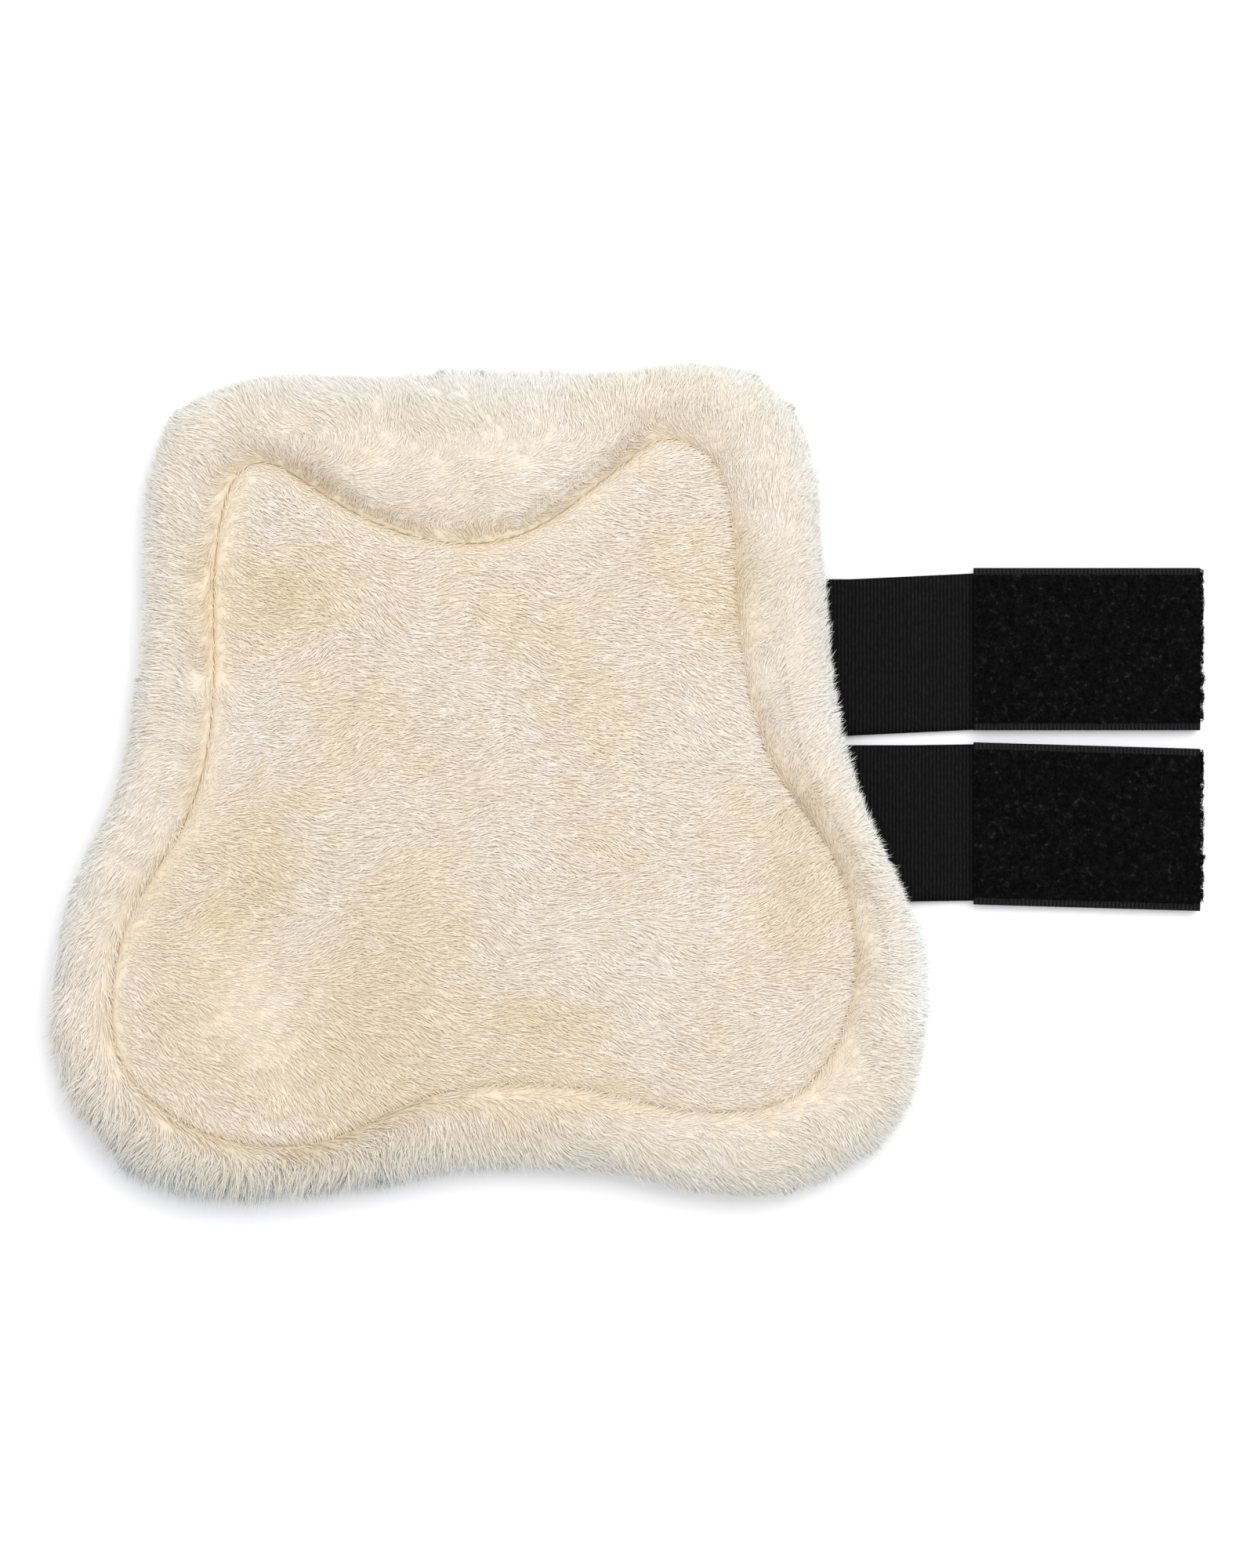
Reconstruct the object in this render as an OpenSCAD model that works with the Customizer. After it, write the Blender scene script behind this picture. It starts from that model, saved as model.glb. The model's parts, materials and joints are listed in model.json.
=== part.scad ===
// Fleece-lined horse leg boot, laid open on its outer side.
// +X runs along the straps, +Y up the leg, +Z towards the leg. The rest face is at Z = 0.

/* [Shell and padding] */
// Thickness of the trims on the outer face: strike pad, hook patches, sewn elastic
trim_t = 1.6; // [1.2:0.1:2.2]
// Thickness of the outer shell
shell_t = 2.2; // [1.6:0.1:3]
// Thickness of the foam between the shell and the fleece
foam_t = 4; // [3:0.5:5]
// Height of the fleece lining panel, backing and pile
lining_t = 5.4; // [4:0.2:7]
// How far the shell reaches past the lining seam
shell_margin = 4; // [3:0.5:6]
// How far the foam stays back from the lining seam
foam_margin = 2; // [1:0.5:4]

/* [Rolled fleece edge] */
// Lowest point of the rolled edge
roll_z0 = 2; // [1.8:0.1:2.4]
// Highest point of the rolled edge
roll_z1 = 16; // [14:0.5:18]

/* [Straps] */
// Width of the elastic webbing
elastic_w = 38.2; // [36:0.1:39]
// Width of the loop tape on the free ends
tape_w = 39.6; // [38:0.1:39.8]
// Thickness of the loop tape with its pile
tape_t = 2.6; // [1.6:0.1:2.6]
// Where the loop tape starts
tape_x0 = 119.5; // [115:0.5:125]
// Where the straps end
strap_x1 = 175; // [170:0.5:190]
// Where the sewn inner ends of the elastics start
anchor_x0 = 59; // [57.5:0.5:62]
// Where the upper strap bends at the boot's edge
upper_bend_x = 89.5; // [89.5:0.5:93]
// Where the lower strap bends at the boot's edge
lower_bend_x = 104.5; // [104.5:0.5:108]
// Height of the upper elastic's middle at the boot and at the tape
upper_y = [30.9, 32.3];
// Height of the lower elastic's middle at the boot and at the tape
lower_y = [-9.6, -9.4];
// Height of the upper tape's middle at its start and at its end
upper_tape_y = [32.9, 32.9];
// Height of the lower tape's middle at its start and at its end
lower_tape_y = [-9.6, -11.2];

/* [Hook patches and strike pad] */
// Height of each hook patch
hook_h = 36; // [30:0.5:38]
// Where the hook patches start, towards the boot's middle
hook_x0 = -22; // [-30:1:-20]
// Where the hook patches end, towards the free edge
hook_x1 = -68; // [-68:1:-60]
// Width of the strike pad
pad_w = 34; // [24:1:35]
// Length of the strike pad
pad_l = 104; // [80:1:110]
// Middle of the strike pad
pad_mid = [1, -8];

/* [Flex lines] */
// Where the left wing bends: inner line and outer line
left_flex = [-18, -44];
// Where the right wing bends: inner line and outer line
right_flex = [20, 56];
// Largest bend at each left line, in degrees
left_bend = [70, 70];
// Largest bend at each right line, in degrees
right_bend = [50, 45];
// Height of every flex line, in the middle of the shell
flex_z = 2.7; // [2.2:0.1:3.2]
// Clear slit at each flex line
slit = 0.4; // [0.3:0.1:0.6]

/* [Hidden] */

shell_z0 = trim_t;
foam_z0 = shell_z0 + shell_t;
lining_z0 = foam_z0 + foam_t;
lining_z1 = lining_z0 + lining_t;
far = 130;            // half size of the cutting blocks
bend_spare = 1.5;     // extra half angle at each flex line, in degrees
curve_steps = 3;      // straight pieces between two outline points

// Line of the seam between the lining panel and the rolled edge, clockwise from the left top lobe.
seam_points = [[-65, 52], [-60.5, 75], [-52, 79.5], [-35, 67.5], [-14, 58.8], [10, 59.7], [34, 77],
    [48, 85], [57.5, 79], [61, 56], [62, 34], [69, 5.5], [79, -8], [87, -22], [90.5, -42], [86, -64],
    [73, -77.5], [50, -79.5], [23, -73.3], [0, -72.8], [-18, -77], [-35, -85.7], [-55, -87.8],
    [-75, -81], [-88, -68], [-90, -50], [-85, -30.5], [-70, -6], [-65, 20]];

// Outer line of the rolled fleece edge, clockwise from the left top lobe.
edge_points = [[-82, 60], [-79.5, 81], [-68, 94], [-45, 98], [0, 99.3], [35, 99.3], [56, 100.5],
    [71, 93.5], [80, 78], [83.3, 50], [86, 20], [91.5, -2], [102.8, -28.5], [107, -52], [104.5, -76],
    [93, -90], [75, -99], [55, -100.5], [30, -95], [0, -93], [-30, -97], [-55, -99.5], [-78, -97.5],
    [-94, -85], [-103, -68], [-104, -48], [-97, -23], [-87.5, 4], [-82.5, 36]];

function curve_at(a, b, c, d, t) =
    0.5 * (2 * b + (c - a) * t + (2 * a - 5 * b + 4 * c - d) * t * t
    + (3 * b - a - 3 * c + d) * t * t * t);

// Closed smooth curve through the given points.
function smooth_loop(p) = let (n = len(p))
    [for (i = [0 : n - 1]) for (k = [0 : curve_steps - 1])
        curve_at(p[(i + n - 1) % n], p[i], p[(i + 1) % n], p[(i + 2) % n], k / curve_steps)];

// The loop moved inwards by d, or outwards where d is negative.
function inset(p, d) = let (n = len(p))
    [for (i = [0 : n - 1])
        let (t = p[(i + 1) % n] - p[(i + n - 1) % n])
        p[i] + d * [t.y, -t.x] / norm(t)];

seam_line = smooth_loop(seam_points);
edge_line = smooth_loop(edge_points);

module slab(outline, z0, z1) {
    translate([0, 0, z0])
        linear_extrude(z1 - z0)
            polygon(outline);
}

module ring(outer, inner, z0, z1) {
    translate([0, 0, z0])
        linear_extrude(z1 - z0)
            difference() {
                polygon(outer);
                polygon(inner);
            }
}

// Side of a segment at a flex line: upright up to the flex line's height, then leaning back.
// way is 1 where the segment lies on the +X side of the line, and -1 on the other side.
function flex_side(x, bend, way) = let (top = roll_z1 + 1)
    [[x + way * slit / 2, -1],
     [x + way * slit / 2, flex_z],
     [x + way * (slit / 2 + (top - flex_z) * tan(bend / 2 + bend_spare)), top]];

// Room of one segment, from the side list a (left) to the side list b (right).
module segment_room(a, b) {
    rotate([90, 0, 0])
        linear_extrude(2 * far, center = true)
            polygon(concat(a, [b[2], b[1], b[0]]));
}

function open_side(way) = [[way * far, -1], [way * far, flex_z], [way * far, roll_z1 + 1]];

module cut_centre() {
    intersection() {
        children();
        segment_room(flex_side(left_flex[0], left_bend[0], 1), flex_side(right_flex[0], right_bend[0], -1));
    }
}

module cut_left_inner() {
    intersection() {
        children();
        segment_room(flex_side(left_flex[1], left_bend[1], 1), flex_side(left_flex[0], left_bend[0], -1));
    }
}

module cut_left_outer() {
    intersection() {
        children();
        segment_room(open_side(-1), flex_side(left_flex[1], left_bend[1], -1));
    }
}

module cut_right_inner() {
    intersection() {
        children();
        segment_room(flex_side(right_flex[0], right_bend[0], 1),
            flex_side(right_flex[1], right_bend[1], -1));
    }
}

module cut_right_outer() {
    intersection() {
        children();
        segment_room(flex_side(right_flex[1], right_bend[1], 1), open_side(1));
    }
}

// Whole layers, which the segments are cut from.
module shell_layer() {
    color([0.06, 0.06, 0.065])
        slab(inset(seam_line, -shell_margin), shell_z0, foam_z0);
}

module foam_layer() {
    color([0.22, 0.22, 0.24])
        slab(inset(seam_line, foam_margin), foam_z0, lining_z0);
}

module lining_layer() {
    crown = 1.4;
    color([0.92, 0.86, 0.74]) {
        slab(inset(seam_line, 0.3), lining_z0, lining_z1 - crown);
        slab(inset(seam_line, 2.5), lining_z1 - crown, lining_z1);
    }
}

module edge_roll_layer() {
    // each row: lowest height, highest height, how far the outer and the inner side stand back
    rows = [[roll_z0, foam_z0, 2.5, 0],
            [foam_z0, 6.5, 0.8, 0],
            [6.5, 11, 0, 0],
            [11, 14, 2, 0.8],
            [14, roll_z1, 5.5, 3.5]];
    low_inner = inset(seam_line, -shell_margin - 0.4);
    color([0.95, 0.92, 0.84])
        for (r = rows)
            ring(inset(edge_line, r[2]),
                r[0] < foam_z0 ? low_inner : inset(seam_line, -0.3 - r[3]), r[0], r[1]);
}

module shell_centre() cut_centre() shell_layer();
module shell_left_inner() cut_left_inner() shell_layer();
module shell_left_outer() cut_left_outer() shell_layer();
module shell_right_inner() cut_right_inner() shell_layer();
module shell_right_outer() cut_right_outer() shell_layer();

module foam_centre() cut_centre() foam_layer();
module foam_left_inner() cut_left_inner() foam_layer();
module foam_left_outer() cut_left_outer() foam_layer();
module foam_right_inner() cut_right_inner() foam_layer();
module foam_right_outer() cut_right_outer() foam_layer();

module lining_centre() cut_centre() lining_layer();
module lining_left_inner() cut_left_inner() lining_layer();
module lining_left_outer() cut_left_outer() lining_layer();
module lining_right_inner() cut_right_inner() lining_layer();
module lining_right_outer() cut_right_outer() lining_layer();

module edge_roll_centre() cut_centre() edge_roll_layer();
module edge_roll_left_inner() cut_left_inner() edge_roll_layer();
module edge_roll_left_outer() cut_left_outer() edge_roll_layer();
module edge_roll_right_inner() cut_right_inner() edge_roll_layer();
module edge_roll_right_outer() cut_right_outer() edge_roll_layer();

// Long pad with round ends that takes the knocks, down the middle of the outer face.
module strike_pad() {
    r = pad_w / 2;
    half = pad_l / 2 - r;
    color([0.1, 0.1, 0.11])
        translate([pad_mid.x, pad_mid.y, 0])
            linear_extrude(trim_t) {
                square([pad_w, 2 * half], center = true);
                for (way = [-1, 1])
                    translate([0, way * half])
                        circle(r, $fn = 64);
            }
}

// Flat strip between two heights, with square ends; y is its middle at each end.
module strip(x0, x1, y, w, z0, z1, shade) {
    color(shade)
        translate([0, 0, z0])
            linear_extrude(z1 - z0)
                polygon([[x0, y[0] - w / 2], [x1, y[1] - w / 2], [x1, y[1] + w / 2], [x0, y[0] + w / 2]]);
}

elastic_shade = [0.05, 0.05, 0.055];
tape_shade = [0.08, 0.08, 0.085];
hook_shade = [0.04, 0.04, 0.045];
gap = slit / 2;

module hook_patch(y, x0, x1) {
    strip(x0, x1, [y, y], hook_h, 0, trim_t, hook_shade);
}

module upper_hook_patch_outer() hook_patch(upper_tape_y[1], hook_x1, left_flex[1] - gap);
module upper_hook_patch_inner() hook_patch(upper_tape_y[1], left_flex[1] + gap, hook_x0);
module lower_hook_patch_outer() hook_patch(lower_y[0], hook_x1, left_flex[1] - gap);
module lower_hook_patch_inner() hook_patch(lower_y[0], left_flex[1] + gap, hook_x0);

module elastic(x0, x1, y) {
    strip(x0, x1, y, elastic_w, 0, trim_t, elastic_shade);
}

module loop_tape(y) {
    strip(tape_x0 + gap, strap_x1, y, tape_w, trim_t, trim_t + tape_t, tape_shade);
}

module upper_elastic_anchor() elastic(anchor_x0, upper_bend_x - gap, [upper_y[0], upper_y[0]]);
module upper_elastic() elastic(upper_bend_x + gap, tape_x0 - gap, upper_y);
module upper_elastic_end() elastic(tape_x0 + gap, strap_x1, [upper_y[1], upper_tape_y[1]]);
module upper_loop_tape() loop_tape(upper_tape_y);

module lower_elastic_anchor() elastic(anchor_x0, lower_bend_x - gap, [lower_y[0], lower_y[0]]);
module lower_elastic() elastic(lower_bend_x + gap, tape_x0 - gap, lower_y);
module lower_elastic_end() elastic(tape_x0 + gap, strap_x1, [lower_y[1], lower_tape_y[1]]);
module lower_loop_tape() loop_tape(lower_tape_y);

shell_centre();
shell_left_inner();
shell_left_outer();
shell_right_inner();
shell_right_outer();
foam_centre();
foam_left_inner();
foam_left_outer();
foam_right_inner();
foam_right_outer();
lining_centre();
lining_left_inner();
lining_left_outer();
lining_right_inner();
lining_right_outer();
edge_roll_centre();
edge_roll_left_inner();
edge_roll_left_outer();
edge_roll_right_inner();
edge_roll_right_outer();
strike_pad();
upper_hook_patch_outer();
upper_hook_patch_inner();
lower_hook_patch_outer();
lower_hook_patch_inner();
upper_elastic_anchor();
upper_elastic();
upper_elastic_end();
upper_loop_tape();
lower_elastic_anchor();
lower_elastic();
lower_elastic_end();
lower_loop_tape();
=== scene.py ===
"""Looks for the fleece-lined leg boot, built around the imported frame."""
import json
import math

import bmesh
import bpy
import numpy as np
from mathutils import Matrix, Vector, noise


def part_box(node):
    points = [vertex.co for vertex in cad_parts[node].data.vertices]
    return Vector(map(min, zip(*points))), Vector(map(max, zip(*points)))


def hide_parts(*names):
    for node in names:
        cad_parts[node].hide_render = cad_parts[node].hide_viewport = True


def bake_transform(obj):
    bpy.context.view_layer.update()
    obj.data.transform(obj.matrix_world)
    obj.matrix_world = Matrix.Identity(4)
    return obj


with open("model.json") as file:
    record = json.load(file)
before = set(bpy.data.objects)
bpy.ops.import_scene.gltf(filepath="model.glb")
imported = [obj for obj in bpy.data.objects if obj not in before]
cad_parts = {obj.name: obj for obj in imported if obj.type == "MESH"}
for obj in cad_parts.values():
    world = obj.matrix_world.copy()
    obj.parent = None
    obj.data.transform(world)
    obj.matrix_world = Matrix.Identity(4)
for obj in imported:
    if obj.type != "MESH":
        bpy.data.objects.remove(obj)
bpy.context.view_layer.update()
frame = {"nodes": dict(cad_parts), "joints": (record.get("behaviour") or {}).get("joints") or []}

MM = 0.001
FAR = 1.0
TAU = 2 * math.pi
rng = np.random.default_rng(11)


# ---- camera, light, floor
VIEW_HEIGHT = 0.380          # what the picture's long side spans at the object
VIEW_MIDDLE = (0.03515, 0.0)
LENS_MM = 110
SENSOR_MM = 36
LOOK_Z = 0.010


def add_to_scene(name, data):
    made = bpy.data.objects.new(name, data)
    bpy.context.scene.collection.objects.link(made)
    return made


def make_camera():
    data = bpy.data.cameras.new("camera")
    data.lens = LENS_MM
    data.sensor_width = SENSOR_MM
    data.sensor_fit = "AUTO"
    camera = add_to_scene("camera", data)
    camera.location = (*VIEW_MIDDLE, LOOK_Z + VIEW_HEIGHT * LENS_MM / SENSOR_MM)
    bpy.context.scene.camera = camera


def area_light(name, place, target, size, power, colour=(1, 1, 1)):
    data = bpy.data.lights.new(name, "AREA")
    data.shape = "DISK"
    data.size = size
    data.energy = power
    data.color = colour
    lamp = add_to_scene(name, data)
    lamp.location = place
    lamp.rotation_euler = (Vector(target) - Vector(place)).to_track_quat("-Z", "Y").to_euler()


def make_light():
    area_light("key", (0.5, 0.6, 1.15), (0.03, 0, 0), 1.5, 14.5)
    area_light("fill", (-0.7, 0.2, 1.2), (0.03, 0, 0), 1.2, 2)
    world = bpy.data.worlds.new("studio")
    bpy.context.scene.world = world
    world.use_nodes = True
    world.node_tree.nodes["Background"].inputs["Color"].default_value = (1, 1, 1, 1)
    world.node_tree.nodes["Background"].inputs["Strength"].default_value = 0.88
    bpy.context.scene.view_settings.view_transform = "Standard"


def srgb(r, g, b):
    """8-bit screen colour as linear RGB."""
    c = np.array([r, g, b]) / 255
    return np.where(c <= 0.04045, c / 12.92, ((c + 0.055) / 1.055) ** 2.4)


class Shader:
    """A Principled material built node by node."""

    def __init__(self, name, **values):
        self.material = bpy.data.materials.new(name)
        self.material.use_nodes = True
        self.tree = self.material.node_tree
        self.surface = self.tree.nodes["Principled BSDF"]
        for socket, value in values.items():
            self.surface.inputs[socket.replace("_", " ")].default_value = value

    def node(self, kind, inputs=(), **settings):
        made = self.tree.nodes.new(kind)
        for key, value in settings.items():
            setattr(made, key, value)
        for key, value in dict(inputs).items():
            if isinstance(value, bpy.types.NodeSocket):
                self.tree.links.new(value, made.inputs[key])
            else:
                made.inputs[key].default_value = value
        return made

    def set(self, socket, source):
        self.tree.links.new(source, self.surface.inputs[socket])

    def coords(self, scale=(1, 1, 1)):
        place = self.node("ShaderNodeTexCoord").outputs["Object"]
        return self.node("ShaderNodeMapping", {"Vector": place, "Scale": scale}).outputs[0]

    def noise(self, scale, detail=2.0, stretch=(1, 1, 1), roughness=0.5):
        found = self.node("ShaderNodeTexNoise", {"Vector": self.coords(stretch), "Scale": scale,
                                                 "Detail": detail, "Roughness": roughness})
        return found.outputs["Fac"]

    def ramp(self, factor, *stops):
        made = self.node("ShaderNodeValToRGB", {"Fac": factor})
        elements = made.color_ramp.elements
        while len(elements) < len(stops):
            elements.new(0.5)
        for element, (place, colour) in zip(elements, stops):
            element.position = place
            element.color = (*colour, 1)
        return made.outputs["Color"]

    def mix(self, kind, factor, a, b):
        made = self.node("ShaderNodeMix", data_type="RGBA", blend_type=kind)
        for key, value in ((0, factor), (6, a), (7, b)):
            if isinstance(value, bpy.types.NodeSocket):
                self.tree.links.new(value, made.inputs[key])
            else:
                made.inputs[key].default_value = value if key == 0 else (*value, 1)
        return made.outputs[2]

    def wave(self, scale, distortion, direction="X", stretch=(1, 1, 1)):
        made = self.node("ShaderNodeTexWave", {"Vector": self.coords(stretch), "Scale": scale,
                                               "Distortion": distortion}, bands_direction=direction)
        return made.outputs["Fac"]

    def cells(self, scale, feature="F1"):
        made = self.node("ShaderNodeTexVoronoi", {"Vector": self.coords(), "Scale": scale},
                         feature=feature)
        return made.outputs["Distance"]

    def rough(self, scale, low, high, detail=2.0):
        self.set("Roughness", self.ramp(self.noise(scale, detail), (0.3, grey(low)), (0.7, grey(high))))

    def bump(self, height, distance, strength):
        made = self.node("ShaderNodeBump", {"Height": height, "Distance": distance,
                                            "Strength": strength})
        self.set("Normal", made.outputs["Normal"])


def grey(v):
    return (v, v, v * 1.02)


def pile_material(name, roughness):
    """Fleece: the colour comes from each fibre's own attribute, broken up by fine noise."""
    m = Shader(name, Roughness=roughness, Sheen_Weight=0.1, Sheen_Roughness=0.5,
               Specular_IOR_Level=0.2)
    fibre = m.node("ShaderNodeAttribute", attribute_name="pile_colour").outputs["Color"]
    fine = m.ramp(m.noise(900, 1), (0.3, grey(0.96)), (0.7, grey(1.0)))
    m.set("Base Color", m.mix("MULTIPLY", 1.0, fibre, fine))
    return m.material


def elastic_material():
    m = Shader("elastic_webbing", Specular_IOR_Level=0.04)
    fleck = m.noise(1500, 2, (1, 0.6, 1), 0.7)
    both = m.node("ShaderNodeMath", {0: m.wave(349, 1.2), 1: fleck}, operation="MULTIPLY").outputs[0]
    m.set("Base Color", m.ramp(both, (0.1, grey(0.0022)), (0.6, grey(0.0115))))
    m.rough(700, 0.55, 0.8)
    m.bump(both, 0.00012, 0.6)
    return m.material


def tape_material():
    m = Shader("loop_tape_pile", Specular_IOR_Level=0.05)
    m.set("Base Color", m.ramp(m.noise(700, 4, roughness=0.75), (0.35, grey(0.0012)),
                               (0.58, grey(0.004)), (0.76, grey(0.032))))
    m.rough(300, 0.78, 0.95)
    m.bump(m.noise(1500, 3), 0.0003, 0.7)
    return m.material


def selvedge_material():
    m = Shader("woven_edge", Specular_IOR_Level=0.08)
    rib = m.wave(330, 0.4)
    m.set("Base Color", m.ramp(rib, (0.2, grey(0.003)), (0.9, grey(0.015))))
    m.rough(500, 0.55, 0.75)
    m.bump(rib, 0.00015, 0.6)
    return m.material


def leather_material(name, dark, light, rough):
    m = Shader(name, Specular_IOR_Level=0.3)
    crease = m.ramp(m.cells(700, "DISTANCE_TO_EDGE"), (0.0, grey(0)), (0.12, grey(1)))
    wear = m.ramp(m.noise(38, 5, roughness=0.65), (0.45, grey(dark)), (0.75, grey(light)))
    m.set("Base Color", m.mix("MULTIPLY", 0.5, wear, crease))
    m.rough(120, rough, rough + 0.16, detail=3)
    both = m.node("ShaderNodeMath", {0: crease, 1: m.noise(90, 4)}, operation="ADD").outputs[0]
    m.bump(both, 0.00018, 0.8)
    return m.material


def foam_material():
    m = Shader("foam", Roughness=0.9)
    holes = m.cells(1300)
    m.set("Base Color", m.ramp(holes, (0.1, grey(0.012)), (0.5, grey(0.035))))
    m.bump(holes, 0.0002, 0.7)
    return m.material


def thread_material(name, low, high):
    m = Shader(name, Roughness=0.7, Specular_IOR_Level=0.15)
    m.set("Base Color", m.ramp(m.wave(900, 0.3, "DIAGONAL", (1, 1, 0.3)), (0.2, low), (0.9, high)))
    return m.material


def make_floor():
    m = Shader("floor", Roughness=0.9)
    m.set("Base Color", m.ramp(m.noise(8), (0.3, grey(0.93)), (0.7, grey(0.95))))
    data = bpy.data.meshes.new("floor")
    half = 6.0
    drop = -0.0004
    corners = [(-half, -half, drop), (half, -half, drop), (half, half, drop), (-half, half, drop)]
    data.from_pydata(corners, [], [(0, 1, 2, 3)])
    data.materials.append(m.material)
    add_to_scene("floor", data)


# ---- outlines, from the frame
STEPS = 720                  # points round each outline


def unit(vectors):
    """The vectors at length 1."""
    return vectors / (np.linalg.norm(vectors, axis=-1, keepdims=True) + 1e-12)


def upright_outline(prefix, low, high):
    """Outline of the CAD layer whose upright sides run from one height to the other, by angle."""
    heights = {}
    for name, node in frame["nodes"].items():
        if name.startswith(prefix):
            for v in node.data.vertices:
                key = (round(v.co.x, 5), round(v.co.y, 5))
                heights.setdefault(key, set()).add(round(v.co.z, 4))
    wanted = {round(low, 4), round(high, 4)}
    points = np.array([key for key, found in heights.items() if wanted <= found])
    return points[np.argsort(np.arctan2(points[:, 1], points[:, 0]))]


def smooth_resample(points, count=STEPS, blur=3.0 * MM):
    """The closed outline as count evenly spaced points, its corners rounded off."""
    step = np.linalg.norm(np.roll(points, -1, 0) - points, axis=1)
    along = np.concatenate([[0], np.cumsum(step)])
    closed = np.vstack([points, points[:1]])
    s = np.linspace(0, along[-1], count, endpoint=False)
    even = np.stack([np.interp(s, along, closed[:, k]) for k in (0, 1)], 1)
    pitch = along[-1] / count
    reach = int(3 * blur / pitch)
    offsets = np.arange(-reach, reach + 1)
    weights = np.exp(-(offsets * pitch / blur) ** 2 / 2)
    weights /= weights.sum()
    return sum(w * np.roll(even, k, 0) for w, k in zip(weights, offsets))


def moved_in(points, distance):
    """The outline moved inwards. Outlines run anticlockwise."""
    run = unit(np.roll(points, -3, 0) - np.roll(points, 3, 0))
    return points + distance * np.stack([-run[:, 1], run[:, 0]], 1)


def radius_at(points, angle):
    """Distance from the middle to the outline, at these angles."""
    own = np.arctan2(points[:, 1], points[:, 0])
    order = np.argsort(own)
    r = np.linalg.norm(points, axis=1)[order]
    return np.interp(angle, own[order], r, period=TAU)




def heights_of(node):
    low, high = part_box(node)
    return low.z, high.z


SHELL_Z = heights_of("shell_centre")
FOAM_Z = heights_of("foam_centre")
LINING_Z = heights_of("lining_centre")
ROLL_WIDEST = (6.5 * MM, 11 * MM)     # heights between which the rolled edge is widest

shell_line = smooth_resample(upright_outline("shell_", *SHELL_Z))
seam_line = smooth_resample(moved_in(shell_line, 4 * MM), blur=4.5 * MM)
# The right top lobe of the seam leans a little towards the middle.
RIGHT_LOBE = np.array([50, 86]) * MM
lean = np.exp(-(np.linalg.norm(seam_line - RIGHT_LOBE, axis=1) / (10 * MM)) ** 2)
seam_line[:, 0] -= 4 * MM * lean
seam_line = smooth_resample(seam_line, blur=2 * MM)
foam_line = moved_in(shell_line, 6 * MM)
edge_line = smooth_resample(upright_outline("edge_roll_", *ROLL_WIDEST))
edge_angle = np.unwrap(np.arctan2(edge_line[:, 1], edge_line[:, 0]))
seam_of_edge = radius_at(seam_line, edge_angle)[:, None] * np.stack(
    [np.cos(edge_angle), np.sin(edge_angle)], 1)


def wrinkle(points, size, seed=0.0):
    """Smooth noise from -1 to 1 at these points, for features of about this size."""
    return np.array([noise.noise(Vector((x / size + seed, y / size - seed, z / size)))
                     for x, y, z in points])


def flat3(xy, z=0.0):
    return np.column_stack([xy, np.broadcast_to(z, len(xy))])


# ---- strips across the flex lines
hinge = {j["name"]: j for j in frame["joints"]}


def hinge_x(name):
    return hinge[name]["pos_m"][0]


LEFT_HALF = (hinge_x("left_wrap") - hinge_x("left_edge_wrap")) / 2
RIGHT_HALF = (hinge_x("right_edge_wrap") - hinge_x("right_wrap")) / 2
LEFT_CUT = hinge_x("left_wrap") - LEFT_HALF
RIGHT_CUT = hinge_x("right_wrap") + RIGHT_HALF
MIDDLE_CUT = (hinge_x("left_wrap") + LEFT_HALF + hinge_x("right_wrap") - RIGHT_HALF) / 2
# name, lowest x, highest x, joint that it bends across, half width of the bend, CAD parts it covers
STRIPS = [
    ("left_outer", -FAR, LEFT_CUT, "left_edge_wrap", LEFT_HALF, ["left_outer"]),
    ("left_inner", LEFT_CUT, MIDDLE_CUT, "left_wrap", LEFT_HALF, ["left_inner"]),
    ("right_inner", MIDDLE_CUT, RIGHT_CUT, "right_wrap", RIGHT_HALF, ["centre", "right_inner"]),
    ("right_outer", RIGHT_CUT, FAR, "right_edge_wrap", RIGHT_HALF, ["right_outer"]),
]


def bend_over(piece):
    """Bakes the piece's placement into its mesh."""
    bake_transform(piece)


def cut_mesh(bm, low, high):
    """A copy of the closed mesh between two x values, closed again at the cuts."""
    part = bm.copy()
    for x, way in ((low, -1), (high, 1)):
        if abs(x) >= FAR:
            continue
        found = bmesh.ops.bisect_plane(part, geom=part.verts[:] + part.edges[:] + part.faces[:],
                                       plane_co=(x, 0, 0), plane_no=(way, 0, 0), clear_outer=True)
        edges = [g for g in found["geom_cut"] if isinstance(g, bmesh.types.BMEdge)]
        for edge in edges:
            edge.smooth = False
        bmesh.ops.triangle_fill(part, use_beauty=True, edges=edges)
    bmesh.ops.recalc_face_normals(part, faces=part.faces[:])
    return part


def mesh_from(bm, name):
    mesh = bpy.data.meshes.new(name)
    bm.to_mesh(mesh)
    bm.free()
    return mesh


def add_piece(name, mesh, material, slot, joint, half):
    """A visible piece with its material, its placement baked into its mesh. Pile sets its own smooth and
    flat faces.
    """
    piece = add_to_scene(name, mesh)
    mesh.materials.append(material)
    if "pile_colour" not in mesh.attributes:
        mesh.polygons.foreach_set("use_smooth", [True] * len(mesh.polygons))
    bend_over(piece)
    return piece


def strip_pieces(bm, name, slot, material, cover=None, finish=None):
    """The closed mesh as up to four pieces, one for each strip that it reaches."""
    xs = [v.co.x for v in bm.verts]
    made = []
    for strip, low, high, joint, half, parts in STRIPS:
        if max(xs) <= low + 0.2 * MM or min(xs) >= high - 0.2 * MM:
            continue
        mesh = mesh_from(cut_mesh(bm, low, high), f"{name}_{strip}")
        if finish:
            mesh = finish(mesh, low, high)
        piece = add_piece(f"{name}_{strip}", mesh, material, slot, joint, half)
        if cover:
            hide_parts(*[f"{cover}_{p}" for p in parts])
        made.append(piece)
    bm.free()
    return made


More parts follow.
